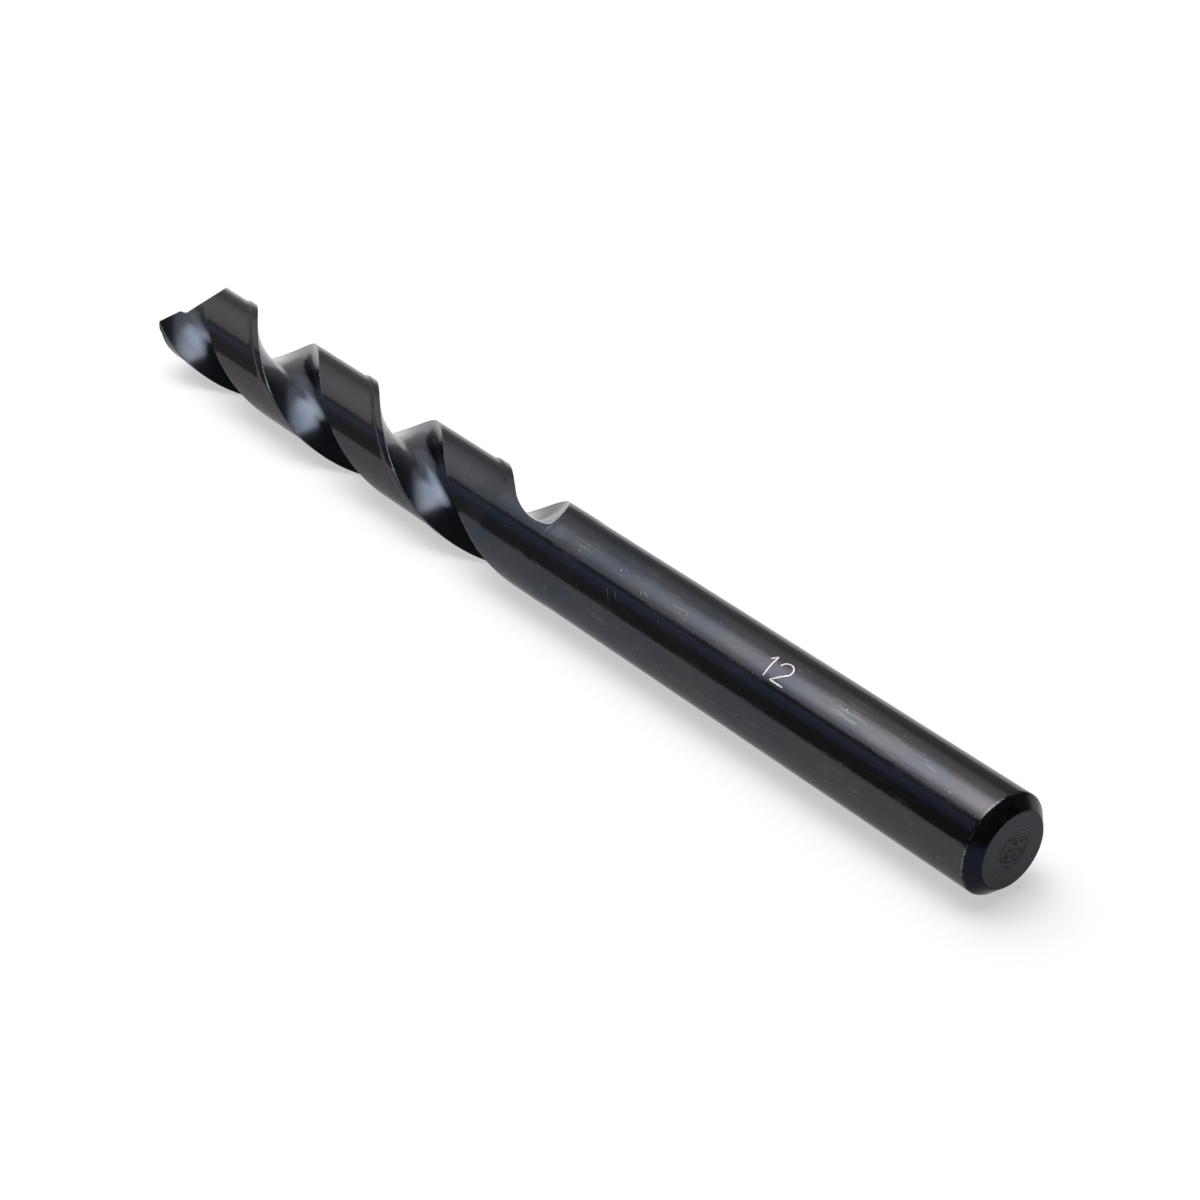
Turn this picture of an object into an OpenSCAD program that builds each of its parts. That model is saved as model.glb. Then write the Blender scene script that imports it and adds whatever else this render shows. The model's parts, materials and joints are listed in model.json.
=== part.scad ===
// Two-flute twist drill bit: straight round shank, right-hand spiral flutes with
// narrow cutting margins, and a split point. It lies level along X, tip towards -X.

/* [Drill] */
// Length from the shank end to the tip
overall_l = 156; // [145:1:175]
// Diameter across the cutting margins
drill_d = 12; // [11.6:0.1:12.6]

/* [Shank] */
// Diameter of the shank
shank_d = 11.9; // [11:0.1:12.4]
// Chamfer at the shank end
shank_chamfer = 1.45; // [0.5:0.05:2.5]

/* [Flutes] */
// Length from the tip to the end of the flutes
flute_l = 83.5; // [70:0.5:100]
// Length over which a flute rises to the surface at its end
run_out_l = 8; // [6:0.2:12]
// Advance of the spiral in one full turn
spiral_pitch = 55.5; // [50:0.5:75]
// Angle that one flute takes up at the tip
flute_angle = 94; // [88:1:96]
// Angle by which a flute is narrower at its shank end
flute_narrowing = 17; // [0:1:24]
// Thickness of the web between the flutes at the tip
web_t = 1.2; // [1:0.05:2]
// Growth of the web along the flutes
web_growth = 2.4; // [0:0.1:2.6]

/* [Lands] */
// Width of a cutting margin
margin_w = 1.2; // [0.8:0.1:2]
// Depth of the relieved land behind the margin
land_relief = 0.23; // [0.1:0.01:0.35]

/* [Point] */
// Angle between the two lips
point_angle = 135; // [125:1:140]
// Fall of the flank behind the lip, in degrees
lip_relief = 6; // [4:0.5:8]
// Distance from the axis at which the thinned part of a lip starts
split_reach = 1.5; // [1.2:0.1:1.8]
// Slope of the notch floor, down from level
split_slope = 55; // [50:1:60]

/* [Hidden] */

drill_r = drill_d / 2;
body_r = drill_r - land_relief;
turn_per_mm = 360 / spiral_pitch;
margin_angle = margin_w / drill_r * 180 / PI;
half_point = point_angle / 2;

// Height by which the lines of the two lips would pass above the tip.
tip_drop = 0.115;

// The flutes end at end_z, are full depth from full_z, and the lips start at corner_z.
end_z = overall_l - flute_l;
full_z = end_z + run_out_l;
corner_z = overall_l + tip_drop - edge_x(web_t / 2) / tan(half_point);
lead_angle = 43.55 + (corner_z - 116.64) * turn_per_mm;

// The web is thicker and the flute narrower towards the shank.
function along(z) = (overall_l - z) / flute_l;
function half_web(z) = (web_t + web_growth * along(z)) / 2;
function open_angle(z) = flute_angle - flute_narrowing * pow(along(z), 2);
function polar(r, a) = [r * cos(a), r * sin(a)];

// Face behind the lip. A lip is straight and runs a half web ahead of the axis, so a
// cross-section shows it turned back by the spiral: x is the distance out along the lip.
rake_n = 6;
function edge_x(w) = sqrt(drill_r * drill_r - w * w);
function lip_turn(x, w) = atan2(w, x) - atan2(w, edge_x(w)) - turn_per_mm * (edge_x(w) - x) / tan(half_point);
function lip_point(x, w) = polar(norm([x, w]), lip_turn(x, w));
function rake_in(w) = 1.1 + 1.2 * w;
rake_out = 7.4;
function rake(w) = [for (i = [0:rake_n]) lip_point(rake_out + (rake_in(w) - rake_out) * i / rake_n, w)];

// Smooth bottom of the flute, from the rake face to the web.
base_n = 3;
function core_at(z) = 0.55 * open_angle(z);
function unit(v) = v / norm(v);
function bezier(p, q, r, s, t) = pow(1 - t, 3) * p + 3 * t * pow(1 - t, 2) * q + 3 * t * t * (1 - t) * r + pow(t, 3) * s;
function base(w, core) = let (
    p = lip_point(rake_in(w), w),
    d = unit(lip_point(rake_in(w) - 0.05, w) - p),
    s = polar(w, core),
    k = norm(s - p) * 0.38
) [for (i = [1:base_n]) bezier(p, p + k * d, s - k * polar(1, core + 90), s, i / base_n)];

// Round wall of the flute, an arc that touches the web and ends at the heel.
heel_n = 5;
function heel(w, core, open) = let (
    b = open - core,
    c = body_r * cos(b),
    r = (w * w + body_r * body_r - 2 * w * c) / (2 * (c - w)),
    a = atan2(body_r * sin(b), c - w - r)
) [for (i = [1:heel_n]) polar(w + r, core) + polar(r, core + 180 + (a - 180) * i / heel_n)];

// Relieved land, from the heel to the margin. The relief fades out near the flute end.
land_n = 5;
function ease(t) = let (c = min(1, max(0, t))) c * c * (3 - 2 * c);
function land_r(z) = body_r + (land_relief + 0.15) * ease((end_z + 14 - z) / 8);
function land(z, open) = [for (i = [0:land_n]) polar(land_r(z), open + (180 - margin_angle - open) * i / land_n)];

// The rest of the section lies outside the blank.
far_n = 4;
far_r = 14;
function far_arc() = [for (i = [0:far_n]) polar(far_r, (180 - margin_angle) * (1 - i / far_n))];

// At its shank end the flute lifts out of the blank in a curve.
lift_at = 50;
lift_full = drill_r - half_web(end_z) + 0.1;
function lift(z) = lift_full * pow(min(1, max(0, (full_z - z) / run_out_l)), 1.6);
function raised(points, z) = [for (p = points) p + polar(lift(z), lift_at)];

function flute(w, core, open) = concat(rake(w), base(w, core), heel(w, core, open));
function section(z) = concat(
    raised(flute(half_web(z), core_at(z), open_angle(z)), z),
    land(z, open_angle(z)),
    far_arc()
);
function turned(points, a, z) = [for (p = points) [p[0] * cos(a) - p[1] * sin(a), p[0] * sin(a) + p[1] * cos(a), z]];

// Heights of the sections: close together in the run-out, wider apart above it.
fine_n = 20;
coarse_n = 60;
start_z = end_z - 0.3;
stop_z = overall_l + 1.5;
function station_z(i) = i < fine_n ? start_z + (full_z - start_z) * i / fine_n : full_z + (stop_z - full_z) * (i - fine_n) / coarse_n;
stations = fine_n + coarse_n;
near_n = rake_n + base_n + heel_n + land_n + 2;
section_n = near_n + far_n + 1;

// End cap: a zip of triangles between the flute curve and the far arc.
function zip_at(k) = round((near_n - 1) * (1 - (k + 0.5) / far_n));
function cap(first) = concat(
    [for (k = [0:far_n])
        let (hi = k == 0 ? near_n - 1 : zip_at(k - 1), lo = k == far_n ? 0 : zip_at(k))
        for (i = [0:near_n - 2]) if (i >= lo && i < hi) [first + i, first + i + 1, first + near_n + k]],
    [for (k = [0:far_n - 1]) [first + zip_at(k), first + near_n + k, first + near_n + k + 1]]
);
function flipped(faces) = [for (f = faces) [f[0], f[2], f[1]]];

module flute_cut() {
    points = [for (i = [0:stations])
        let (z = station_z(i)) each turned(section(z), lead_angle + (z - corner_z) * turn_per_mm, z)];
    sides = [for (i = [0:stations - 1]) for (j = [0:section_n - 1])
        let (a = i * section_n + j, b = i * section_n + (j + 1) % section_n)
        each [[a, b, a + section_n], [b, b + section_n, a + section_n]]];
    polyhedron(points, concat(flipped(cap(0)), cap(stations * section_n), sides), convexity = 8);
}

// Frame of the first lip: x runs out along it, y points the way it cuts, z = 0 is its top.
tip_web = web_t / 2;
lip_at = lead_angle - atan2(tip_web, edge_x(tip_web));
module at_lip() {
    translate([0, 0, overall_l + tip_drop]) rotate([0, 0, lip_at]) children();
}

// The flank is part of a cone that has the lip as one of its lines. It is cut on one side
// of the chisel line, which crosses the axis.
cone_half = 40;
cone_back = 5;
chisel_turn = 45;
module flank_cut() {
    lip_dir = [sin(half_point), 0, -cos(half_point)];
    out = [cos(half_point) * cos(lip_relief), -sin(lip_relief), sin(half_point) * cos(lip_relief)];
    dir = cos(cone_half) * lip_dir - sin(cone_half) * out;
    tip = [0, tip_web, 0] - cone_back * lip_dir;
    at_lip() difference() {
        rotate([0, 0, chisel_turn - 90]) translate([0, -9, -11]) cube([9, 18, 14]);
        translate(tip) rotate([0, acos(dir[2]), atan2(dir[1], dir[0])])
            cylinder(h = 30, r1 = 0, r2 = 30 * tan(cone_half), $fn = 180);
    }
}

// Notch that thins the web and relieves the heel of the other tooth. An upright wall makes
// the inner part of the lip, and a steep floor falls from the tip across the heel.
split_in = 0.12;
split_turn = atan2(tip_web, split_reach - split_in);
floor_turn = 67;
module split_cut() {
    at_lip() intersection() {
        translate([split_in, 0, -12]) rotate([0, 0, split_turn]) translate([-6, 0, 0]) cube([18, 12, 16]);
        translate([0, 0, -tip_drop]) rotate([0, 0, floor_turn]) rotate([0, split_slope, 0])
            translate([-12, -12, 0]) cube([30, 24, 16]);
    }
}

module blank() {
    cylinder(h = shank_chamfer, r1 = shank_d / 2 - shank_chamfer, r2 = shank_d / 2, $fn = 96);
    translate([0, 0, shank_chamfer]) cylinder(h = end_z - 2 - shank_chamfer, d = shank_d, $fn = 96);
    translate([0, 0, end_z - 2]) cylinder(h = 1, d1 = shank_d, d2 = drill_d, $fn = 96);
    translate([0, 0, end_z - 1]) cylinder(h = flute_l + 1.5, d = drill_d, $fn = 96);
}

// The drill is made upright on its shank end and then laid on its margins.
module twist_drill() {
    color("dimgray") translate([overall_l / 2, 0, drill_r]) rotate([0, -90, 0])
        difference() {
            blank();
            for (a = [0, 180]) rotate([0, 0, a]) {
                flute_cut();
                flank_cut();
                split_cut();
            }
        }
}

twist_drill();
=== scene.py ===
"""A black oxide twist drill, lying on a pale studio floor.

Sizes are millimetres in the drill's own frame, where z runs from the shank end up to the tip.
The last step of the shape lays the drill down and turns millimetres to metres.
"""
import json
import math

import bmesh
import bpy
import numpy as np
from mathutils import Euler, Matrix, Vector


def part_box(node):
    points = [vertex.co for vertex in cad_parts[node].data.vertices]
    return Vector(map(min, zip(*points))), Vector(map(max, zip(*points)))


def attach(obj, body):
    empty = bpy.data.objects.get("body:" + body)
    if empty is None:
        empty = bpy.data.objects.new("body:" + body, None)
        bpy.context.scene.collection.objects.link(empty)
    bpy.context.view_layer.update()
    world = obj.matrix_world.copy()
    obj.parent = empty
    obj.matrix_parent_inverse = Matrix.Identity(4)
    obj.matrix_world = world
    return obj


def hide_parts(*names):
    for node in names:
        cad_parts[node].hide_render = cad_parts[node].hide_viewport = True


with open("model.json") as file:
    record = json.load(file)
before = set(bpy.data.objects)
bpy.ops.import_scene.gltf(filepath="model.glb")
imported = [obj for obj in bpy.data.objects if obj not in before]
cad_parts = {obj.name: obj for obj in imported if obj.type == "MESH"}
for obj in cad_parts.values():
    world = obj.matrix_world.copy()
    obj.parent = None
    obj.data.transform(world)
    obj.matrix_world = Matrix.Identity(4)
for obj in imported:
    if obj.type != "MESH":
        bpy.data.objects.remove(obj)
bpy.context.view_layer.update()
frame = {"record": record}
root = "root"
MM = 0.001

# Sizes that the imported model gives.
low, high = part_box("twist_drill")
shank_mount = next(m for m in frame["record"]["mounts"] if m["name"] == "shank")
overall_l = round((high.x - low.x) / MM)
drill_r = round((high.z - low.z) / 2 / MM, 3)
shank_r = shank_mount["dims"]["r_mm"]
shank_chamfer = round((high.x - shank_mount["pos_m"][0]) / MM, 3)

# Flutes and lands, as the part's source has them.
flute_l = 83.5
run_out_l = 8
spiral_pitch = 55.5
flute_angle = math.radians(94)
flute_narrowing = math.radians(17)
web_t = 1.2
web_growth = 2.4
margin_w = 1.2
land_relief = 0.23
relief_fade_from = 14
relief_fade_l = 8
relief_fade_lift = 0.38
lift_at = math.radians(50)
lift_curve = 1.6

turn_per_mm = 2 * math.pi / spiral_pitch
end_z = overall_l - flute_l
full_z = end_z + run_out_l
body_r = drill_r - land_relief
margin_angle = margin_w / drill_r

# Curve of one flute across the drill.
rake_out = 7.4
core_share = 0.55
bottom_reach = 0.38

# Point.
half_point = math.radians(135 / 2)
lip_relief = math.radians(6)
split_reach = 1.5
split_slope = math.radians(55)
tip_drop = 0.115
# Height at which the photo shows a corner of the flute, and the angle it is seen at.
seen_z = 116.64
seen_angle = math.radians(43.55)


def edge_x(w):
    """Distance out to the corner of a lip that runs w ahead of the axis."""
    return math.sqrt(drill_r**2 - w**2)


corner_z = overall_l + tip_drop - edge_x(web_t / 2) / math.tan(half_point)
lead_angle = seen_angle + (corner_z - seen_z) * turn_per_mm

# Grinding of the point. The lip frame has x out along the lip and z = 0 at the lips' height.
tip_web = web_t / 2
lip_at = lead_angle - math.atan2(tip_web, edge_x(tip_web))
chisel_turn = math.radians(45)
cone_half = math.radians(40)
cone_back = 5
cone_l = 30
split_in = 0.12
split_turn = math.atan2(tip_web, split_reach - split_in)
floor_turn = math.radians(67)
flank_block_size = (9, 18, 14)
flank_block_middle = (4.5, 0, -4)
wall_block_size = (18, 12, 16)
wall_block_middle = (3, 6, 8)
floor_block_size = (30, 24, 16)
floor_block_middle = (3, 0, 8)

# Rounding of the edges, and how closely the surfaces are drawn.
edge_round = 0.045
rim_round = 0.06
margin_step = 0.5
station_step = 0.3
past_tip = 1.5
run_out_stations = 44
flute_n = 48
land_n = 16
margin_n = 10
step_n = 4
shank_n = 160
face_rings = 9
chamfer_rings = 7
side_rings = 40
smooth_under = math.radians(30)
# Edges sharper than this get the rubbed wear and the painted highlight.
wear_and_highlight_over = math.radians(18)
SHANK, MARGIN, FLUTE, LAND, POINT, END_FACE, CHAMFER = range(7)

# Marks on the shank: mm along the drill from its middle, and degrees around it.
stroke_out = 0.008
stroke_in = 0.02
stroke_step = 0.12
one_start = 43.1
two_start = 44.75
size_foot = 124.0
size_height = 2.85
size_lean = 0.14
bow_r = 0.92
size_stroke = 0.17
scratch_stroke = 0.055
scratch_lines = [
    [(18.5, 137), (19.5, 147.6)],
    [(19.6, 134.7), (20.7, 144.5)],
    [(27.6, 113.6), (29.9, 110.4), (30.5, 122.4)],
    [(22.7, 120.0), (23.3, 123.5)],
    [(23.2, 118.5), (24.1, 121.0)],
]

# Studio: the floor's paper, the height in metres and level of the light, and the fitted camera.
floor_hex = "#b4b4b4"
floor_glow = 0.52
floor_half = 3
light_height = 2.0
light_level = 0.6
camera_lens = 83.49
camera_place = (0.22473, -0.17438, 0.17998)
camera_right = Vector((0.63372, 0.77356, 0))
camera_up = Vector((-0.41776, 0.34224, 0.84164))


def ease(t):
    t = min(1, max(0, t))
    return t * t * (3 - 2 * t)


def polar(r, a):
    """Points at radius r and angle a, one of which may be an array."""
    return np.stack(np.broadcast_arrays(r * np.cos(a), r * np.sin(a)), axis=-1)


def along(z):
    return (overall_l - z) / flute_l


def lip_point(x, w):
    """Point x out along the lip, turned back by the spiral to where a cross-section shows it."""
    back = turn_per_mm * (edge_x(w) - x) / math.tan(half_point)
    return polar(np.hypot(x, w), np.arctan2(w, x) - math.atan2(w, edge_x(w)) - back)


def flute_curve(z, land_r):
    """One flute across the drill at height z: face behind the lip, flute bottom, wall up to the heel."""
    w = (web_t + web_growth * along(z)) / 2
    open_angle = flute_angle - flute_narrowing * along(z) ** 2
    core = core_share * open_angle
    rake_in = 1.1 + 1.2 * w
    rake = lip_point(np.linspace(rake_out, rake_in, 240), w)
    # The flute bottom is a Bezier curve from the rake face to the web.
    p = rake[-1]
    d = lip_point(np.array(rake_in - 0.05), w) - p
    d /= np.linalg.norm(d)
    s = polar(w, core)
    k = bottom_reach * np.linalg.norm(s - p)
    t = np.linspace(0, 1, 60)[1:, None]
    q, r = p + k * d, s - k * polar(1, core + math.pi / 2)
    bottom = (1 - t) ** 3 * p + 3 * t * (1 - t) ** 2 * q + 3 * t * t * (1 - t) * r + t**3 * s
    # The wall is an arc that touches the web and ends at the heel.
    b = open_angle - core
    c = land_r * math.cos(b)
    arc_r = (w * w + land_r**2 - 2 * w * c) / (2 * (c - w))
    sweep = math.atan2(land_r * math.sin(b), c - w - arc_r)
    turn = np.linspace(0, 1, 160)[1:]
    wall = polar(w + arc_r, core) + polar(arc_r, core + math.pi + (sweep - math.pi) * turn)
    return np.concatenate([rake, bottom, wall])


def land_radius(z):
    """The land is relieved, and the relief fades out before the flutes end."""
    fade = ease((end_z + relief_fade_from - z) / relief_fade_l)
    return min(drill_r, body_r + relief_fade_lift * fade)


def raised_curve(z):
    """The flute rises out of the blank at its shank end."""
    lift_full = drill_r - (web_t + web_growth) / 2 + 0.1
    share = min(1, max(0, (full_z - z) / run_out_l))
    return flute_curve(z, land_radius(z)) + polar(lift_full * share**lift_curve, lift_at)


def inside_blank(curve, outer_r):
    """The stretch of a curve that lies inside a circle, cut off exactly where it crosses it."""
    r = np.hypot(*curve.T)
    inside = np.nonzero(r < outer_r - 1e-9)[0]
    if len(inside) < 2:
        return None
    first, last = inside[0], inside[-1]

    def crossing(a, b):
        t = (outer_r - r[a]) / (r[b] - r[a])
        return curve[a] + t * (curve[b] - curve[a])

    ends = [crossing(first - 1, first)] if first > 0 else []
    tail = [crossing(last + 1, last)] if last + 1 < len(curve) else []
    return np.concatenate([np.reshape(ends, (-1, 2)), curve[first:last + 1], np.reshape(tail, (-1, 2))])


def spaced(curve, n, inset):
    """n points along a curve, which start and end inset from its ends."""
    run = np.concatenate([[0], np.cumsum(np.hypot(*np.diff(curve, axis=0).T))])
    at = np.linspace(inset, run[-1] - inset, n)
    return np.stack([np.interp(at, run, curve[:, 0]), np.interp(at, run, curve[:, 1])], axis=-1)


def run_out_start():
    """Height at which the rising flute leaves the blank."""
    shallow, deep = end_z, full_z
    for _ in range(60):
        middle = (shallow + deep) / 2
        if inside_blank(raised_curve(middle), drill_r) is None:
            shallow = middle
        else:
            deep = middle
    return deep


def section(z, cut):
    """Outline of the drill at height z, before its twist: margin, flute and land, twice."""
    width = np.linalg.norm(cut[-1] - cut[0])
    inset = min(edge_round, 0.08 * width)
    lead = math.atan2(cut[0][1], cut[0][0])
    heel = math.atan2(cut[-1][1], cut[-1][0])
    step = margin_step / 2 / drill_r
    margin = polar(drill_r, np.linspace(step - margin_angle, lead - inset / drill_r, margin_n))
    land_end = math.pi - margin_angle - step
    land_r = land_radius(z)
    land = polar(land_r, np.linspace(heel + inset / drill_r, land_end, land_n))
    share = np.linspace(0, 1, step_n + 2)[1:-1]
    rise = np.array([ease(t) for t in share])
    rise_points = polar(land_r + (drill_r - land_r) * rise, land_end + 2 * step * share)
    half = np.concatenate([margin, spaced(cut, flute_n, inset), land, rise_points])
    return np.concatenate([half, -half])


def fluted_stack():
    """Heights and outlines of the fluted length, from the end of the flutes to past the tip."""
    start = run_out_start()
    rise = start + (full_z - start) * np.linspace(0, 1, run_out_stations) ** 2
    top = overall_l + past_tip
    straight = np.linspace(full_z, top, round((top - full_z) / station_step))
    heights = np.concatenate([rise[1:], straight[1:]])
    cuts = [inside_blank(raised_curve(z), drill_r) for z in heights]
    # The flute starts in a point, and the blank is round below it.
    middle = cuts[0].mean(axis=0)
    apex = polar(drill_r, math.atan2(middle[1], middle[0]))
    cuts = [np.array([apex, apex])] * 2 + cuts
    heights = np.concatenate([[end_z - 0.5, start], heights])
    return heights, [section(z, cut) for z, cut in zip(heights, cuts)]


def turned_profile():
    """Radius and height of the turned shank, from the end face up to the fluted blank."""
    face_r = shank_r - shank_chamfer
    face = [(r, 0) for r in np.linspace(0, face_r - 0.3, face_rings)[1:]] + [(face_r - rim_round, 0)]
    slope = [
        (face_r + d, d)
        for d in np.linspace(rim_round * 0.7, shank_chamfer - rim_round, chamfer_rings)
    ]
    bevel = slope + [(shank_r, shank_chamfer + rim_round)]
    even_z = np.linspace(shank_chamfer + 1.5, end_z - 2, side_rings)
    side_z = np.concatenate([[shank_chamfer + 0.35], even_z])
    side = [(shank_r, z) for z in side_z]
    return face + bevel + side + [(drill_r, end_z - 1)]


def zipped(lower, upper, angles):
    """Triangles between two rings with different numbers of points, all in order of angle."""
    i, j, faces = 0, 0, []
    n, m = len(lower), len(upper)
    while i < n or j < m:
        next_low = angles[lower[(i + 1) % n]] + (2 * math.pi if i + 1 >= n else 0)
        next_up = angles[upper[(j + 1) % m]] + (2 * math.pi if j + 1 >= m else 0)
        a, b = lower[i % n], upper[j % m]
        if j >= m or (i < n and next_low <= next_up):
            faces.append((a, lower[(i + 1) % n], b))
            i += 1
        else:
            faces.append((a, upper[(j + 1) % m], b))
            j += 1
    return faces


def stack_mesh():
    """Closed mesh of the whole drill before its flutes are twisted and its point is ground."""
    heights, outlines = fluted_stack()
    n = len(outlines[0])
    points = [(x, y, z) for z, ring in zip(heights, outlines) for x, y in ring]
    faces = [
        (a, b, b + n, a + n)
        for i in range(len(heights) - 1)
        for a, b in [(i * n + j, i * n + (j + 1) % n) for j in range(n)]
    ]
    faces.append(tuple(range((len(heights) - 1) * n, len(heights) * n)))

    profile = turned_profile()
    first = len(points)
    angle = np.linspace(0, 2 * math.pi, shank_n, endpoint=False)
    points += [(r * math.cos(a), r * math.sin(a), z) for r, z in profile for a in angle]
    centre = len(points)
    points.append((0, 0, 0))
    faces += [(centre, first + (j + 1) % shank_n, first + j) for j in range(shank_n)]
    faces += [
        tuple(first + i * shank_n + k for k in (a, b, b + shank_n, a + shank_n))
        for i in range(len(profile) - 1)
        for a, b in [(j, (j + 1) % shank_n) for j in range(shank_n)]
    ]

    # The blank's lowest outline is joined to the shank's last ring, without its repeated points.
    places = np.array(points)
    round_angle = np.arctan2(places[:, 1], places[:, 0]) % (2 * math.pi)
    _, unique = np.unique(np.round(round_angle[:n], 7) % round(2 * math.pi, 7), return_index=True)
    upper = sorted(unique, key=lambda k: round_angle[k])
    lower = list(range(first + (len(profile) - 1) * shank_n, first + len(profile) * shank_n))
    faces += zipped(lower, upper, round_angle)

    mesh = bpy.data.meshes.new("drill_stack")
    mesh.from_pydata(points, [], faces)
    # Each face keeps which part of the surface it belongs to.
    half = [MARGIN] * (margin_n - 1) + [FLUTE] * (flute_n + 1) + [LAND] * (land_n + step_n)
    rows = [half + half for _ in heights[1:]]
    rows[0] = [SHANK] * n
    zones = np.full(len(faces), SHANK)
    zones[:n * len(rows)] = np.ravel(rows)
    # After the fluted rows and the cap come the end face's fan and the turned profile's rows.
    fan = n * len(rows) + 1
    slope = fan + shank_n * face_rings
    zones[fan:slope] = END_FACE
    zones[slope:slope + shank_n * chamfer_rings] = CHAMFER
    mesh.attributes.new("zone", "INT", "FACE").data.foreach_set("value", zones.astype(np.int32))
    b = bmesh.new()
    b.from_mesh(mesh)
    bmesh.ops.remove_doubles(b, verts=b.verts, dist=1e-5)
    bmesh.ops.dissolve_degenerate(b, dist=1e-5, edges=b.edges)
    bmesh.ops.recalc_face_normals(b, faces=b.faces)
    b.to_mesh(mesh)
    b.free()
    return mesh


def add_node(tree, kind, inputs=(), **settings):
    """Adds a node. In inputs a node, a socket or each one of a list is linked, and a value is set."""
    node = tree.nodes.new(kind)
    for name, value in settings.items():
        setattr(node, name, value)
    for key, value in dict(inputs).items():
        for one in value if isinstance(value, list) else [value]:
            if isinstance(one, bpy.types.Node):
                one = next(socket for socket in one.outputs if socket.enabled)
            if isinstance(one, bpy.types.NodeSocket):
                tree.links.new(one, node.inputs[key])
            else:
                node.inputs[key].default_value = one
    return node


def cutter_values():
    """Where the grinding cutters go in the lip frame, as the tree's inputs."""
    def block(middle, move, turn):
        return Vector(move) + Euler(turn).to_matrix() @ Vector(middle), Vector(turn)

    lip_dir = Vector((math.sin(half_point), 0, -math.cos(half_point)))
    flank_out = Vector((math.cos(half_point) * math.cos(lip_relief), -math.sin(lip_relief),
                        math.sin(half_point) * math.cos(lip_relief)))
    cone_dir = math.cos(cone_half) * lip_dir - math.sin(cone_half) * flank_out
    flank_place, flank_turn = block(flank_block_middle, (0, 0, 0), (0, 0, chisel_turn - math.pi / 2))
    wall_place, wall_turn = block(wall_block_middle, (split_in, 0, -12), (0, 0, split_turn))
    floor_place, floor_turn_by = block(floor_block_middle, (0, 0, -tip_drop), (0, split_slope, floor_turn))
    return {
        "Flank block place": flank_place,
        "Flank block turn": flank_turn,
        "Flank cone apex": Vector((0, tip_web, 0)) - cone_back * lip_dir,
        "Flank cone turn": Vector((0, math.acos(cone_dir.z), math.atan2(cone_dir.y, cone_dir.x))),
        "Notch wall place": wall_place,
        "Notch wall turn": wall_turn,
        "Notch floor place": floor_place,
        "Notch floor turn": floor_turn_by,
        "First tooth turn": Vector((0, 0, lip_at)),
        "Second tooth turn": Vector((0, 0, lip_at + math.pi)),
        "Tooth place": Vector((0, 0, overall_l + tip_drop)),
        "Laid down place": Vector((overall_l / 2 * MM, 0, drill_r * MM)),
    }


def flank_cutter(tree, given):
    """What the flank's grinding takes away: a block on one side of the chisel line, outside a cone."""
    cube = add_node(tree, "GeometryNodeMeshCube", {
        "Size": flank_block_size, "Vertices X": 26, "Vertices Y": 51, "Vertices Z": 40,
    })
    block = add_node(tree, "GeometryNodeTransform", {
        "Geometry": cube, "Translation": given["Flank block place"],
        "Rotation": given["Flank block turn"],
    })
    cone = add_node(tree, "GeometryNodeMeshCone", {
        "Vertices": 200, "Side Segments": 90, "Radius Top": given["Flank cone rim"], "Radius Bottom": 0,
        "Depth": given["Flank cone length"],
    })
    core = add_node(tree, "GeometryNodeTransform", {
        "Geometry": cone, "Translation": given["Flank cone apex"], "Rotation": given["Flank cone turn"],
    })
    return add_node(tree, "GeometryNodeMeshBoolean", {
        "Mesh 1": block, "Mesh 2": core,
    }, operation="DIFFERENCE", solver="MANIFOLD")


def notch_cutter(tree, given):
    """The notch that thins the web has an upright wall and a steep floor."""
    wall_cube = add_node(tree, "GeometryNodeMeshCube", {
        "Size": wall_block_size, "Vertices X": 51, "Vertices Y": 34, "Vertices Z": 46,
    })
    wall = add_node(tree, "GeometryNodeTransform", {
        "Geometry": wall_cube, "Translation": given["Notch wall place"],
        "Rotation": given["Notch wall turn"],
    })
    floor_cube = add_node(tree, "GeometryNodeMeshCube", {
        "Size": floor_block_size, "Vertices X": 86, "Vertices Y": 69, "Vertices Z": 46,
    })
    floor = add_node(tree, "GeometryNodeTransform", {
        "Geometry": floor_cube, "Translation": given["Notch floor place"],
        "Rotation": given["Notch floor turn"],
    })
    return add_node(tree, "GeometryNodeMeshBoolean", {
        "Mesh 2": [wall, floor],
    }, operation="INTERSECT", solver="MANIFOLD")


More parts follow.
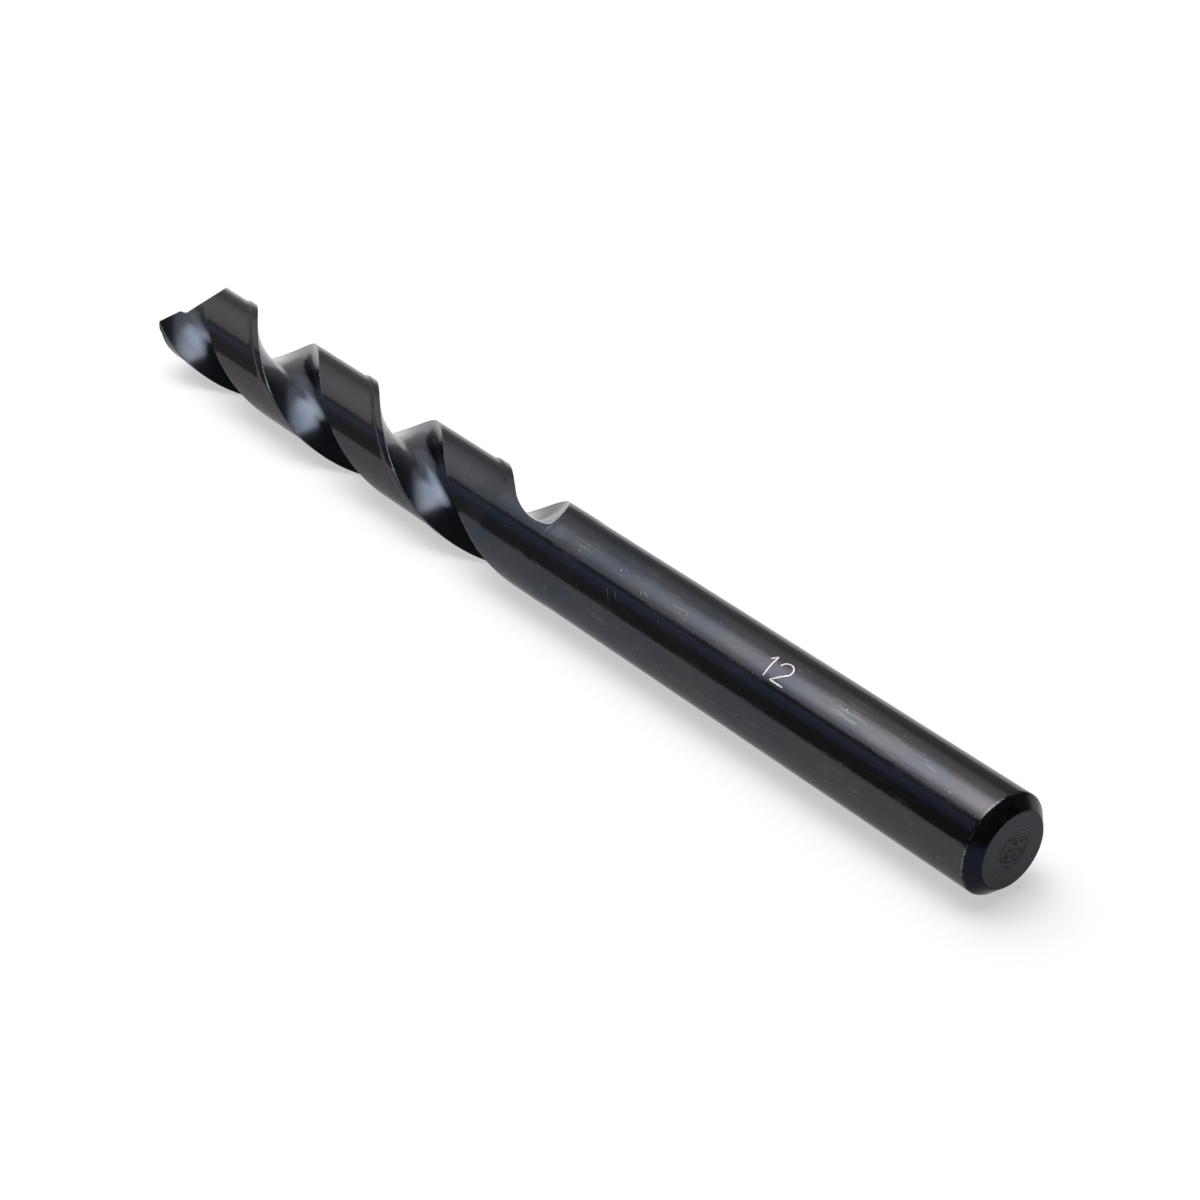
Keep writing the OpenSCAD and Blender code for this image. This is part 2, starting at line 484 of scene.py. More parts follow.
def grinding_tree(numbers, places, materials):
    """Geometry Nodes that twist the stack, grind the point and lay the drill down."""
    tree = bpy.data.node_groups.new("twist_and_grind", "GeometryNodeTree")
    sockets = {"Stack": "NodeSocketGeometry"}
    sockets.update({name: "NodeSocketFloat" for name in numbers})
    sockets.update({name: "NodeSocketVector" for name in places})
    sockets.update({name: "NodeSocketMaterial" for name in materials})
    for name, kind in sockets.items():
        tree.interface.new_socket(name, in_out="INPUT", socket_type=kind)
    tree.interface.new_socket("Drill", in_out="OUTPUT", socket_type="NodeSocketGeometry")
    given = add_node(tree, "NodeGroupInput").outputs

    # The spiral: each height turns on from the corner of the lip.
    place = add_node(tree, "GeometryNodeInputPosition")
    height = add_node(tree, "ShaderNodeSeparateXYZ", {0: place}).outputs[2]
    fluted = add_node(tree, "ShaderNodeMath", {
        0: height, 1: given["Flute end height"],
    }, operation="MAXIMUM")
    climb = add_node(tree, "ShaderNodeMath", {
        0: fluted, 1: given["Corner height"],
    }, operation="SUBTRACT")
    turns = add_node(tree, "ShaderNodeMath", {0: climb, 1: given["Spiral pitch"]}, operation="DIVIDE")
    angle = add_node(tree, "ShaderNodeMath", {
        0: turns, 1: 2 * math.pi, 2: given["Corner turn"],
    }, operation="MULTIPLY_ADD")
    twisted = add_node(tree, "ShaderNodeVectorRotate", {
        "Vector": place, "Angle": angle,
    }, rotation_type="Z_AXIS")
    body = add_node(tree, "GeometryNodeSetPosition", {"Geometry": given["Stack"], "Position": twisted})

    # Both teeth are ground alike, half a turn apart.
    cutters = []
    for shape in (flank_cutter(tree, given), notch_cutter(tree, given)):
        marked = add_node(tree, "GeometryNodeStoreNamedAttribute", {
            "Geometry": shape, "Name": "zone", "Value": POINT,
        }, data_type="INT", domain="FACE")
        for turn in ("First tooth turn", "Second tooth turn"):
            cutters.append(add_node(tree, "GeometryNodeTransform", {
                "Geometry": marked, "Translation": given["Tooth place"], "Rotation": given[turn],
            }))
    ground = add_node(tree, "GeometryNodeMeshBoolean", {
        "Mesh 1": body, "Mesh 2": cutters,
    }, operation="DIFFERENCE", solver="MANIFOLD")

    laid = add_node(tree, "GeometryNodeTransform", {
        "Geometry": ground, "Translation": given["Laid down place"],
        "Rotation": (0, -math.pi / 2, 0), "Scale": (MM, MM, MM),
    })
    done = add_node(tree, "GeometryNodeRealizeInstances", {"Geometry": laid})
    zone = add_node(tree, "GeometryNodeInputNamedAttribute", {"Name": "zone"}, data_type="INT")
    for number, name in enumerate(materials):
        chosen = add_node(tree, "FunctionNodeCompare", {
            2: zone, 3: number,
        }, data_type="INT", operation="EQUAL")
        done = add_node(tree, "GeometryNodeSetMaterial", {
            "Geometry": done, "Selection": chosen, "Material": given[name],
        })
    add_node(tree, "NodeGroupOutput", {0: done})
    return tree


def drill_object(materials):
    """The drill as one plain mesh, at the origin, in metres."""
    numbers = {
        "Spiral pitch": spiral_pitch,
        "Flute end height": end_z - 1,
        "Corner height": corner_z,
        "Corner turn": lead_angle,
        "Flank cone rim": cone_l * math.tan(cone_half),
        "Flank cone length": cone_l,
    }
    places = cutter_values()
    tree = grinding_tree(numbers, places, materials)
    values = {**numbers, **places, **materials}

    source = bpy.data.objects.new("drill_source", stack_mesh())
    source.data.materials.append(materials["shank"])
    bpy.context.scene.collection.objects.link(source)
    modifier = source.modifiers.new("twist_and_grind", "NODES")
    modifier.node_group = tree
    for socket in tree.interface.items_tree:
        if socket.name in values:
            modifier[socket.identifier] = values[socket.name]
    bpy.context.view_layer.update()
    ready = source.evaluated_get(bpy.context.evaluated_depsgraph_get())
    mesh = bpy.data.meshes.new_from_object(ready)
    source.modifiers.clear()
    bpy.data.objects.remove(source)
    mesh.name = "black_oxide_drill"
    drill = bpy.data.objects.new("black_oxide_drill", mesh)
    bpy.context.scene.collection.objects.link(drill)
    for polygon in mesh.polygons:
        polygon.use_smooth = True
    mesh.set_sharp_from_angle(angle=smooth_under)
    mark_edges(mesh)
    return drill


def mark_edges(mesh):
    """An attribute that is 1 along the drill's edges, for the wear that the finishes show there and a
    painted highlight along them.
    """
    b = bmesh.new()
    b.from_mesh(mesh)
    wear_and_highlight_points = {v.index for e in b.edges if e.calc_face_angle(0) > wear_and_highlight_over for v in e.verts}
    b.free()
    edge = np.zeros(len(mesh.vertices), np.float32)
    edge[list(wear_and_highlight_points)] = 1
    mesh.attributes.new("edge", "FLOAT", "POINT").data.foreach_set("value", edge)


def strokes_on_shank(name, material, strokes, width):
    """Thin strips on the shank. A stroke is a list of points: mm along the drill, and angle from +Y up."""
    outer, inner = shank_r + stroke_out, shank_r - stroke_in
    points, faces = [], []
    for stroke in strokes:
        line = np.array([(x, math.radians(a) * shank_r) for x, a in stroke])
        line = spaced(line, max(2, round(np.hypot(*np.diff(line, axis=0).T).sum() / stroke_step)), 0)
        along_line = np.gradient(line, axis=0)
        along_line /= np.linalg.norm(along_line, axis=1)[:, None]
        side = np.stack([-along_line[:, 1], along_line[:, 0]], axis=-1) * width / 2
        first = len(points)
        for left, right in zip(line + side, line - side):
            for (x, arc), r in ((left, inner), (left, outer), (right, outer), (right, inner)):
                a = arc / shank_r
                points.append((x * MM, r * math.cos(a) * MM, (drill_r + r * math.sin(a)) * MM))
        for i in range(len(line) - 1):
            ring = first + 4 * i
            faces += [
                (ring + k, ring + (k + 1) % 4, ring + 4 + (k + 1) % 4, ring + 4 + k) for k in range(4)
            ]
        last = first + 4 * (len(line) - 1)
        faces += [(first + 3, first + 2, first + 1, first), (last, last + 1, last + 2, last + 3)]
    mesh = bpy.data.meshes.new(name)
    mesh.from_pydata(points, [], faces)
    b = bmesh.new()
    b.from_mesh(mesh)
    bmesh.ops.recalc_face_normals(b, faces=b.faces)
    b.to_mesh(mesh)
    b.free()
    mesh.materials.append(material)
    piece = bpy.data.objects.new(name, mesh)
    bpy.context.scene.collection.objects.link(piece)
    return piece


def size_digits():
    """The etched 12: strokes in mm along the shank and degrees around it, read from the drill's side."""
    one = [(0.0, 2.15), (0.62, size_height), (0.62, 0.0)]
    bow = [
        (0.95 - bow_r * math.cos(t), size_height - bow_r + bow_r * math.sin(t))
        for t in np.linspace(0.1, 3.5, 24)
    ]
    two = bow + [(0.0, 0.0), (2.0, 0.0)]
    strokes = []
    for start, legs in ((one_start, (one[:2], one[1:])), (two_start, (two[:-1], two[-2:]))):
        for leg in legs:
            strokes.append([
                (start + u - v * size_lean, size_foot - math.degrees(v / shank_r)) for u, v in leg
            ])
    return strokes


def colour(hex_code):
    """Linear colour of an sRGB hex code."""
    parts = [int(hex_code[i:i + 2], 16) / 255 for i in (1, 3, 5)]
    linear = [c / 12.92 if c <= 0.04045 else ((c + 0.055) / 1.055) ** 2.4 for c in parts]
    return (*linear, 1)


def new_material(name):
    material = bpy.data.materials.new(name)
    material.use_nodes = True
    material.node_tree.nodes.clear()
    return material, material.node_tree


def drill_places(tree):
    """Millimetres from the middle, the distance from the axis, and places with the spiral undone."""
    place = add_node(tree, "ShaderNodeTexCoord").outputs["Object"]
    centred = add_node(tree, "ShaderNodeMapping", {
        "Vector": place, "Location": (0, 0, -drill_r), "Scale": (1 / MM, 1 / MM, 1 / MM),
    })
    x, y, z = add_node(tree, "ShaderNodeSeparateXYZ", {0: centred}).outputs
    across = add_node(tree, "ShaderNodeCombineXYZ", {1: y, 2: z})
    radius = add_node(tree, "ShaderNodeVectorMath", {0: across}, operation="LENGTH").outputs["Value"]
    turn = add_node(tree, "ShaderNodeMath", {0: x, 1: -turn_per_mm}, operation="MULTIPLY")
    unwound = add_node(tree, "ShaderNodeVectorRotate", {
        "Vector": centred, "Angle": turn,
    }, rotation_type="X_AXIS")
    return centred, radius, unwound


def dust(tree, place):
    """Specks 0.1 to 0.2 mm wide, twice as wide as real lint so that they show, in some 0.8 mm cells."""
    cells = add_node(tree, "ShaderNodeTexVoronoi", {"Vector": place, "Scale": 1.2}, feature="F1")
    chance = add_node(tree, "ShaderNodeSeparateColor", {0: cells.outputs["Color"]}).outputs
    near = add_node(tree, "ShaderNodeMapRange", {
        "Value": cells.outputs["Distance"], "From Min": 0.12, "From Max": 0.05, "To Max": 0.8,
    })
    present = add_node(tree, "ShaderNodeMapRange", {"Value": chance[0], "From Min": 0.6, "From Max": 1})
    return add_node(tree, "ShaderNodeMath", {0: near, 1: present}, operation="MULTIPLY")


def edge_wear_and_highlight(tree, place):
    """1 along the edges, in patches about 0.5 mm long: partly oxide rubbed off, partly a painted highlight
    where the edges catch the light.
    """
    edge = add_node(tree, "ShaderNodeAttribute", attribute_name="edge").outputs["Fac"]
    narrow = add_node(tree, "ShaderNodeMath", {0: edge, 1: 8}, operation="POWER")
    noise = add_node(tree, "ShaderNodeTexNoise", {
        "Vector": place, "Scale": 1.8, "Detail": 6, "Roughness": 0.8,
    })
    patches = add_node(tree, "ShaderNodeMapRange", {
        "Value": noise, "From Min": 0.47, "From Max": 0.62, "To Max": 0.7,
    })
    return add_node(tree, "ShaderNodeMath", {0: narrow, 1: patches}, operation="MULTIPLY")


def oxide_tone(tree, place):
    """Blue-black just behind the flutes and browner towards both ends, in stains 10 to 20 mm long."""
    long_place = add_node(tree, "ShaderNodeMapping", {"Vector": place, "Scale": (0.5, 1, 1)})
    stains = add_node(tree, "ShaderNodeTexNoise", {
        "Vector": long_place, "Scale": 0.16, "Detail": 5, "Roughness": 0.62,
    })
    bluest_x = 12
    x = add_node(tree, "ShaderNodeSeparateXYZ", {0: place}).outputs[0]
    along_drill = add_node(tree, "ShaderNodeMath", {0: x, 1: bluest_x}, operation="SUBTRACT")
    away = add_node(tree, "ShaderNodeMath", {0: along_drill}, operation="ABSOLUTE")
    browner = add_node(tree, "ShaderNodeMath", {0: away, 1: 0.005, 2: stains}, operation="MULTIPLY_ADD")
    stain = add_node(tree, "ShaderNodeMapRange", {"Value": browner, "From Min": 0.45, "From Max": 0.75})
    tone = add_node(tree, "ShaderNodeMix", {
        "Factor": stain, 6: colour("#353a41"), 7: colour("#403e41"),
    }, data_type="RGBA")
    return tone.outputs[2]


def oxide_surface(tree, tone, bright, roughness, height, bump_mm, rim="#dcdcdc"):
    """Black oxide metal: the tone, pale bare steel where it is rubbed bright, which along the edges is also
    a painted highlight, and a bump of bump_mm in all.

    The rim colour is how much it mirrors at a glancing angle.
    """
    base = add_node(tree, "ShaderNodeMix", {
        "Factor": bright, 6: tone, 7: colour("#9a9ca0"),
    }, data_type="RGBA")
    bump = add_node(tree, "ShaderNodeBump", {"Height": height, "Distance": bump_mm * MM, "Strength": 1})
    shader = add_node(tree, "ShaderNodeBsdfPrincipled", {
        "Base Color": base.outputs[2], "Metallic": 1, "Roughness": roughness, "Normal": bump,
        "Specular Tint": colour(rim),
    })
    add_node(tree, "ShaderNodeOutputMaterial", {"Surface": shader})


def shank_material():
    """Ground and blackened shank: shiny blue-black with brownish clouds and a haze from handling."""
    material, tree = new_material("black_oxide_polished_shank")
    place, _, _ = drill_places(tree)
    long_place = add_node(tree, "ShaderNodeMapping", {"Vector": place, "Scale": (0.5, 1, 1)})
    # Haze: patches of 3 to 8 mm where the shine is duller, with a grain of 0.3 mm.
    hazes = add_node(tree, "ShaderNodeTexNoise", {
        "Vector": long_place, "Scale": 0.3, "Detail": 8, "Roughness": 0.68,
    })
    haze = add_node(tree, "ShaderNodeMapRange", {
        "Value": hazes, "From Min": 0.42, "From Max": 0.68, "To Min": 0.03, "To Max": 0.16,
    })
    grain = add_node(tree, "ShaderNodeTexNoise", {"Vector": place, "Scale": 3.2, "Detail": 3})
    # Polishing leaves the shank slightly wavy, in waves of 1 to 2 mm along it.
    waves = add_node(tree, "ShaderNodeTexNoise", {"Vector": long_place, "Scale": 0.8, "Detail": 3})
    # Fine lines along the shank from sliding in its holder, drawn 0.3 mm apart so that they show.
    thin_place = add_node(tree, "ShaderNodeMapping", {"Vector": place, "Scale": (0.06, 1, 1)})
    lines = add_node(tree, "ShaderNodeTexNoise", {"Vector": thin_place, "Scale": 3.6, "Detail": 3})
    rough = add_node(tree, "ShaderNodeMath", {0: grain, 1: 0.07, 2: haze}, operation="MULTIPLY_ADD")
    rough = add_node(tree, "ShaderNodeMath", {0: lines, 1: 0.06, 2: rough}, operation="MULTIPLY_ADD")
    height = add_node(tree, "ShaderNodeMath", {0: grain, 1: 0.5, 2: waves}, operation="MULTIPLY_ADD")
    height = add_node(tree, "ShaderNodeMath", {0: lines, 1: 0.2, 2: height}, operation="MULTIPLY_ADD")
    # Where the haze is, the finest lines are rubbed a little pale.
    hazy = add_node(tree, "ShaderNodeMapRange", {
        "Value": hazes, "From Min": 0.5, "From Max": 0.66, "To Max": 0.13,
    })
    pale = add_node(tree, "ShaderNodeMapRange", {"Value": lines, "From Min": 0.52, "From Max": 0.66})
    rubbed = add_node(tree, "ShaderNodeMath", {0: hazy, 1: pale}, operation="MULTIPLY")
    # Pale specks of dust, and pale edges: rubbed wear and a painted highlight.
    bright = add_node(tree, "ShaderNodeMath", {
        0: dust(tree, place), 1: edge_wear_and_highlight(tree, place),
    }, operation="MAXIMUM")
    bright = add_node(tree, "ShaderNodeMath", {0: bright, 1: rubbed}, operation="MAXIMUM")
    oxide_surface(tree, oxide_tone(tree, place), bright, rough, height, 0.009)
    return material


def flute_material():
    """Flutes cut by a grinding wheel, then blackened: bluish, with fine lines along the spiral."""
    material, tree = new_material("black_oxide_ground_flute")
    place, _, unwound = drill_places(tree)
    # Grinding lines are about 0.03 mm apart. They are drawn 0.25 mm apart so that they show.
    stretched = add_node(tree, "ShaderNodeMapping", {"Vector": unwound, "Scale": (0.03, 1, 1)})
    lines = add_node(tree, "ShaderNodeTexNoise", {"Vector": stretched, "Scale": 4, "Detail": 2})
    clouds = add_node(tree, "ShaderNodeTexNoise", {"Vector": place, "Scale": 0.3, "Detail": 4})
    cloud = add_node(tree, "ShaderNodeMapRange", {"Value": clouds, "From Min": 0.35, "From Max": 0.65})
    tone = add_node(tree, "ShaderNodeMix", {
        "Factor": cloud, 6: colour("#363b45"), 7: colour("#404349"),
    }, data_type="RGBA")
    rough = add_node(tree, "ShaderNodeMath", {0: lines, 1: 0.06, 2: 0.14}, operation="MULTIPLY_ADD")
    # The edges are pale: rubbed wear and a painted highlight.
    oxide_surface(tree, tone.outputs[2], edge_wear_and_highlight(tree, place), rough, lines, 0.001, rim="#ffffff")
    return material


def land_material(name, dullness):
    """Lands and margins ground round, then blackened: as dark as the shank, fine lines around the drill."""
    material, tree = new_material(name)
    place, _, _ = drill_places(tree)
    # Grinding lines, drawn 0.3 mm apart so that they show.
    stretched = add_node(tree, "ShaderNodeMapping", {"Vector": place, "Scale": (1, 0.05, 0.05)})
    lines = add_node(tree, "ShaderNodeTexNoise", {"Vector": stretched, "Scale": 3.5, "Detail": 2})
    clouds = add_node(tree, "ShaderNodeTexNoise", {
        "Vector": place, "Scale": 0.28, "Detail": 5, "Roughness": 0.6,
    })
    rough = add_node(tree, "ShaderNodeMath", {0: clouds, 1: 0.12, 2: dullness}, operation="MULTIPLY_ADD")
    # Pale specks of dust, and pale edges: rubbed wear and a painted highlight.
    bright = add_node(tree, "ShaderNodeMath", {
        0: dust(tree, place), 1: edge_wear_and_highlight(tree, place),
    }, operation="MAXIMUM")
    oxide_surface(tree, oxide_tone(tree, place), bright, rough, lines, 0.0012)
    return material


def point_material():
    """The point is ground last and blackened with the rest: straight marks across flanks and notches."""
    material, tree = new_material("black_oxide_ground_point")
    place, _, _ = drill_places(tree)
    # Grinding lines, drawn 0.15 mm apart so that they show.
    stretched = add_node(tree, "ShaderNodeMapping", {"Vector": place, "Scale": (1, 1, 0.08)})
    lines = add_node(tree, "ShaderNodeTexNoise", {"Vector": stretched, "Scale": 7, "Detail": 2})
    tone = add_node(tree, "ShaderNodeMix", {
        "Factor": lines, 6: colour("#343a44"), 7: colour("#404349"),
    }, data_type="RGBA")
    rough = add_node(tree, "ShaderNodeMath", {0: lines, 1: 0.12, 2: 0.16}, operation="MULTIPLY_ADD")
    # The edges are pale: rubbed wear and a painted highlight.
    oxide_surface(tree, tone.outputs[2], edge_wear_and_highlight(tree, place), rough, lines, 0.003)
    return material


def chamfer_material():
    """The chamfer is turned and blackened: nearly black, with brown-violet oxide clouds that show only on
    its upper side, as a painted sheen.
    """
    material, tree = new_material("black_oxide_turned_chamfer")
    place, radius, _ = drill_places(tree)
    clouds = add_node(tree, "ShaderNodeTexNoise", {"Vector": place, "Scale": 0.35, "Detail": 4})
    cloud = add_node(tree, "ShaderNodeMapRange", {"Value": clouds, "From Min": 0.36, "From Max": 0.52})
    # Painted sheen: the clouds show only on the upper part, 2.5 mm and more above the axis, on the side
    # that faces the light.
    height = add_node(tree, "ShaderNodeSeparateXYZ", {0: place}).outputs[2]
    upper = add_node(tree, "ShaderNodeMapRange", {"Value": height, "From Min": 2.5, "From Max": 5})
    oxide_clouds_and_upper_sheen = add_node(tree, "ShaderNodeMath", {0: cloud, 1: upper}, operation="MULTIPLY")
    tone = add_node(tree, "ShaderNodeMix", {
        "Factor": oxide_clouds_and_upper_sheen, 6: colour("#1b1d24"), 7: colour("#443b40"),
    }, data_type="RGBA")
    # Turning rings, drawn 0.2 mm apart so that they show.
    rings = add_node(tree, "ShaderNodeTexNoise", {
        "W": radius, "Scale": 5, "Detail": 1,
    }, noise_dimensions="1D")
    rough = add_node(tree, "ShaderNodeMath", {0: clouds, 1: 0.14, 2: 0.15}, operation="MULTIPLY_ADD")
    # Only the outer edge is rubbed and has the painted edge highlight.
    outer = add_node(tree, "ShaderNodeMapRange", {"Value": radius, "From Min": 5.2, "From Max": 5.6})
    wear_and_highlight = add_node(tree, "ShaderNodeMath", {0: edge_wear_and_highlight(tree, place), 1: outer}, operation="MULTIPLY")
    oxide_surface(tree, tone.outputs[2], wear_and_highlight, rough, rings, 0.002)
    return material


def end_face_material():
    """The end face is faced off on a lathe: matt grey-black, fine rings, torn arcs near the middle."""
    material, tree = new_material("black_oxide_turned_end_face")
    place, radius, _ = drill_places(tree)
    # Rings about 0.2 mm apart, the feed of the facing tool.
    rings = add_node(tree, "ShaderNodeTexNoise", {
        "W": radius, "Scale": 5.5, "Detail": 2,
    }, noise_dimensions="1D")
    ring = add_node(tree, "ShaderNodeMapRange", {"Value": rings, "From Min": 0.38, "From Max": 0.62})
    # Arcs: places on a circle, moved on by the radius, so that each ring breaks up in its own way.
    y_z = add_node(tree, "ShaderNodeVectorMath", {0: place, 1: (0, 1, 1)}, operation="MULTIPLY")
    around = add_node(tree, "ShaderNodeVectorMath", {0: y_z}, operation="NORMALIZE")
    out = add_node(tree, "ShaderNodeMath", {0: radius, 1: 3.6}, operation="MULTIPLY")
    arc_place = add_node(tree, "ShaderNodeVectorMath", {
        0: around, 1: add_node(tree, "ShaderNodeCombineXYZ", {0: out}),
    }, operation="ADD")
    tears = add_node(tree, "ShaderNodeTexNoise", {
        "Vector": arc_place, "Scale": 1.3, "Detail": 3, "Roughness": 0.6,
    })
    tear = add_node(tree, "ShaderNodeMapRange", {"Value": tears, "From Min": 0.46, "From Max": 0.6})
    middle = add_node(tree, "ShaderNodeMapRange", {
        "Value": radius, "From Min": 2.7, "From Max": 1.4, "To Min": 0.12,
    })
    torn = add_node(tree, "ShaderNodeMath", {0: tear, 1: middle}, operation="MULTIPLY")
    height = add_node(tree, "ShaderNodeMath", {0: torn, 1: -1.6, 2: ring}, operation="MULTIPLY_ADD")
    dark = add_node(tree, "ShaderNodeMath", {
        0: ring, 1: 0.3, 2: torn,
    }, operation="MULTIPLY_ADD", use_clamp=True)
    tone = add_node(tree, "ShaderNodeMix", {
        "Factor": dark, 6: colour("#404045"), 7: colour("#18181c"),
    }, data_type="RGBA")
    rough = add_node(tree, "ShaderNodeMath", {0: rings, 1: 0.1, 2: 0.4}, operation="MULTIPLY_ADD")
    # The face's rim is a little pale: rubbed wear and a painted highlight.
    wear_and_highlight = add_node(tree, "ShaderNodeMath", {0: edge_wear_and_highlight(tree, place), 1: 0.15}, operation="MULTIPLY")
    oxide_surface(tree, tone.outputs[2], wear_and_highlight, rough, height, 0.01)
    return material


def bare_steel_material(name, tones, roughness):
    """Steel with the oxide burned or scraped away: pale, warm grey and matt."""
    material, tree = new_material(name)
    place, _, _ = drill_places(tree)
    grain = add_node(tree, "ShaderNodeTexNoise", {"Vector": place, "Scale": 5, "Detail": 2})
    tone = add_node(tree, "ShaderNodeMix", {
        "Factor": grain, 6: colour(tones[0]), 7: colour(tones[1]),
    }, data_type="RGBA")
    shader = add_node(tree, "ShaderNodeBsdfPrincipled", {
        "Base Color": tone.outputs[2], "Metallic": 1, "Roughness": roughness,
    })
    add_node(tree, "ShaderNodeOutputMaterial", {"Surface": shader})
    return material


def floor_material():
    """Pale paper. Part of its white is glow, which the camera and the metal's reflections see alike."""
    material, tree = new_material("pale_paper_floor")
    path = add_node(tree, "ShaderNodeLightPath").outputs
    seen = add_node(tree, "ShaderNodeMath", {
        0: path["Is Camera Ray"], 1: path["Is Glossy Ray"],
    }, operation="MAXIMUM")
    seen = add_node(tree, "ShaderNodeMath", {0: seen, 1: path["Is Transmission Ray"]}, operation="MAXIMUM")
    strength = add_node(tree, "ShaderNodeMath", {0: seen, 1: floor_glow}, operation="MULTIPLY")
    paper = add_node(tree, "ShaderNodeBsdfDiffuse", {"Color": colour(floor_hex)})
    glow = add_node(tree, "ShaderNodeEmission", {"Strength": strength})
    both = add_node(tree, "ShaderNodeAddShader", {0: paper, 1: glow})
    add_node(tree, "ShaderNodeOutputMaterial", {"Surface": both})
    return material


def softbox():
    """A wide diffuser overhead with a bright middle. Flags cut it off sharply on the camera's side."""
    data = bpy.data.lights.new("overhead_diffuser", "AREA")
    data.shape = "RECTANGLE"
    x_from, x_to, y_from, y_to = -2.0, 0.5, -1.7, 1.9
    data.size = (x_to - x_from) * light_height
    data.size_y = (y_to - y_from) * light_height
    data.energy = light_level * math.pi * data.size * data.size_y
    light = bpy.data.objects.new("overhead_diffuser", data)
    middle = Vector(((x_from + x_to) / 2, (y_from + y_to) / 2, 1))
    light.location = middle * light_height
    bpy.context.scene.collection.objects.link(light)

    # The pattern, in units of the diffuser's height over the floor.
    data.use_nodes = True
    tree = data.node_tree
    tree.nodes.clear()
    where = add_node(tree, "ShaderNodeNewGeometry").outputs["Position"]
    part = add_node(tree, "ShaderNodeVectorMath", {
        0: where, "Scale": 1 / light_height,
    }, operation="SCALE")
    x, y, _ = add_node(tree, "ShaderNodeSeparateXYZ", {0: part}).outputs
    # The middle is the brightest part. Each line is where one of its sides fades, from outside to inside.
    bright = 4.8
    for at, outside, inside, faint in (
        (x, -1.0, -0.65, 0),
        (y, 0.6, 0.15, 0),
        (y, -0.5, -0.1, 0.1),
        (x, -0.05, -0.45, 0),
    ):
        side = add_node(tree, "ShaderNodeMapRange", {
            "Value": at, "From Min": outside, "From Max": inside, "To Min": faint,
        }, interpolation_type="SMOOTHSTEP")
        bright = add_node(tree, "ShaderNodeMath", {0: bright, 1: side}, operation="MULTIPLY")
    # A round spot over the drill, which the flutes mirror, and a level that falls off all around.
    spot_at = (-0.08, -0.08, 1)
    off = add_node(tree, "ShaderNodeVectorMath", {0: part, 1: spot_at}, operation="DISTANCE")
    spot = add_node(tree, "ShaderNodeMapRange", {
        "Value": off.outputs["Value"], "From Min": 0.72, "From Max": 0, "To Max": 7.5,
    }, interpolation_type="SMOOTHSTEP")
    rest_at = (-0.4, 0, 1)
    far = add_node(tree, "ShaderNodeVectorMath", {0: part, 1: rest_at}, operation="DISTANCE")
    rest = add_node(tree, "ShaderNodeMapRange", {
        "Value": far.outputs["Value"], "From Min": 0.3, "From Max": 1.9, "To Min": 2.1, "To Max": 0.3,
    })
    bright = add_node(tree, "ShaderNodeMath", {0: bright, 1: rest}, operation="ADD")
    bright = add_node(tree, "ShaderNodeMath", {0: bright, 1: spot}, operation="ADD")
    # Two flags with sharp edges on the camera's side, and a soft end to the right of the picture.
    flag = add_node(tree, "ShaderNodeMapRange", {"Value": y, "From Min": -0.57, "From Max": -0.54})
    slant_way = (0.84, -0.54, 0)
    across = add_node(tree, "ShaderNodeVectorMath", {0: part, 1: slant_way}, operation="DOT_PRODUCT")
    slant = add_node(tree, "ShaderNodeMapRange", {
        "Value": across.outputs["Value"], "From Min": 0.175, "From Max": 0.145,
    })
    picture_right = (0.634, 0.774, 0)
    to_right = add_node(tree, "ShaderNodeVectorMath", {0: part, 1: picture_right}, operation="DOT_PRODUCT")
    end = add_node(tree, "ShaderNodeMapRange", {
        "Value": to_right.outputs["Value"], "From Min": 0.55, "From Max": 0.3, "To Min": 0.1,
    }, interpolation_type="SMOOTHSTEP")
    open_part = add_node(tree, "ShaderNodeMath", {0: flag, 1: slant}, operation="MULTIPLY")
    open_part = add_node(tree, "ShaderNodeMath", {0: open_part, 1: end}, operation="MULTIPLY")
    lit = add_node(tree, "ShaderNodeMath", {0: bright, 1: open_part}, operation="MULTIPLY")
    # A faint bluish strip beyond the flag.
    strip_in = add_node(tree, "ShaderNodeMapRange", {"Value": y, "From Min": -0.76, "From Max": -0.82})
    strip_out = add_node(tree, "ShaderNodeMapRange", {
        "Value": y, "From Min": -1.65, "From Max": -0.9, "To Min": 0.3, "To Max": 0.85,
    })
    strip_left = add_node(tree, "ShaderNodeMapRange", {"Value": x, "From Min": -0.5, "From Max": -0.8})
    strip = add_node(tree, "ShaderNodeMath", {0: strip_in, 1: strip_out}, operation="MULTIPLY")
    strip = add_node(tree, "ShaderNodeMath", {0: strip, 1: strip_left}, operation="MULTIPLY")
    strength = add_node(tree, "ShaderNodeMath", {0: lit, 1: strip}, operation="ADD")
    hue = add_node(tree, "ShaderNodeMix", {
        "Factor": strip_in, 6: colour("#ffffff"), 7: colour("#8fa6e8"),
    }, data_type="RGBA")
    shader = add_node(tree, "ShaderNodeEmission", {"Color": hue.outputs[2], "Strength": strength})
    add_node(tree, "ShaderNodeOutputLight", {"Surface": shader})


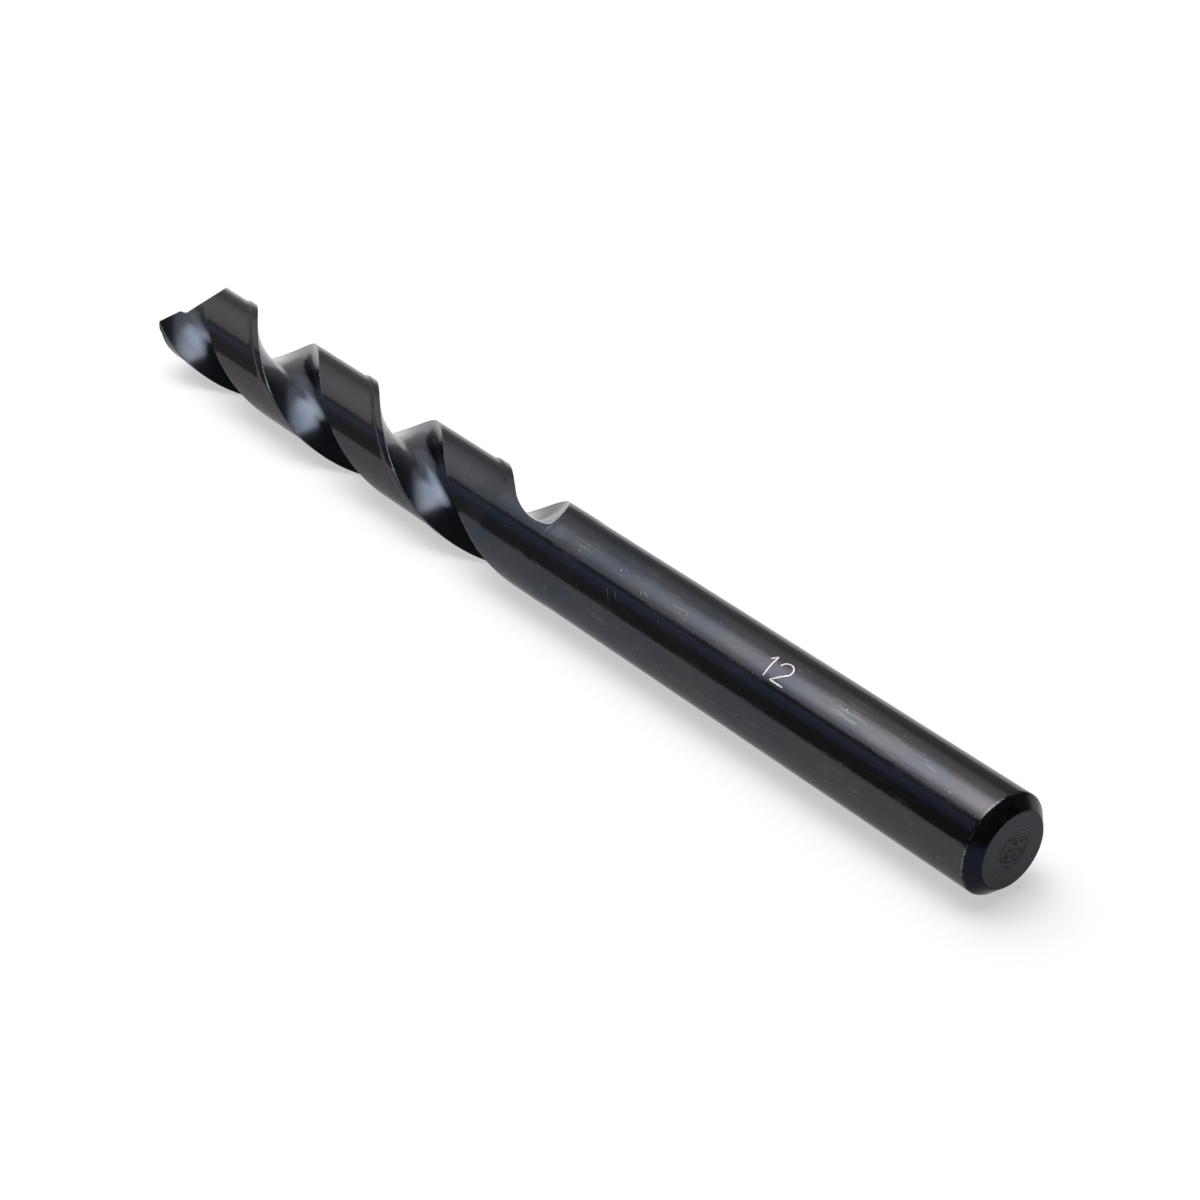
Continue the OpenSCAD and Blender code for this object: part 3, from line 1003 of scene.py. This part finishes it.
def studio():
    """Floor, camera, room and lights."""
    mesh = bpy.data.meshes.new("floor")
    b = bmesh.new()
    bmesh.ops.create_grid(b, x_segments=1, y_segments=1, size=floor_half)
    b.to_mesh(mesh)
    b.free()
    floor = bpy.data.objects.new("floor", mesh)
    mesh.materials.append(floor_material())
    bpy.context.scene.collection.objects.link(floor)

    camera_data = bpy.data.cameras.new("camera")
    camera_data.lens = camera_lens
    camera_data.sensor_width = 36
    camera_data.clip_start = 0.01
    camera_data.clip_end = 20
    camera = bpy.data.objects.new("camera", camera_data)
    backwards = camera_right.cross(camera_up)
    turn = Matrix((camera_right, camera_up, backwards)).transposed().to_4x4()
    camera.matrix_world = Matrix.Translation(camera_place) @ turn
    bpy.context.scene.collection.objects.link(camera)
    bpy.context.scene.camera = camera

    # The room is dim, with a paler wall beyond the drill's tip.
    world = bpy.data.worlds.new("studio_room")
    world.use_nodes = True
    tree = world.node_tree
    tree.nodes.clear()
    direction = add_node(tree, "ShaderNodeTexCoord").outputs["Generated"]
    wall_way = (-0.97, 0.24, 0)
    behind = add_node(tree, "ShaderNodeVectorMath", {0: direction, 1: wall_way}, operation="DOT_PRODUCT")
    strength = add_node(tree, "ShaderNodeMapRange", {
        "Value": behind.outputs["Value"], "From Min": 0.3, "From Max": 1, "To Min": 0.09, "To Max": 0.6,
    })
    room = add_node(tree, "ShaderNodeBackground", {"Strength": strength, "Color": colour("#ffffff")})
    add_node(tree, "ShaderNodeOutputWorld", {"Surface": room})
    bpy.context.scene.world = world
    softbox()


def main():
    materials = {
        "shank": shank_material(),
        "margin": land_material("black_oxide_ground_margin", 0.07),
        "flute": flute_material(),
        "land": land_material("black_oxide_ground_land", 0.09),
        "point": point_material(),
        "end_face": end_face_material(),
        "chamfer": chamfer_material(),
    }
    drill = drill_object(materials)
    etched = bare_steel_material("laser_etched_steel", ("#a39d97", "#dcd6d0"), 0.55)
    scraped = bare_steel_material("scraped_steel", ("#54504d", "#86817c"), 0.45)
    mark = strokes_on_shank("etched_size", etched, size_digits(), size_stroke)
    scratches = strokes_on_shank("shank_scratches", scraped, scratch_lines, scratch_stroke)
    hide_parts("twist_drill")
    for piece in (drill, mark, scratches):
        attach(piece, root)
    studio()
    bpy.context.scene.view_settings.view_transform = "Standard"


main()
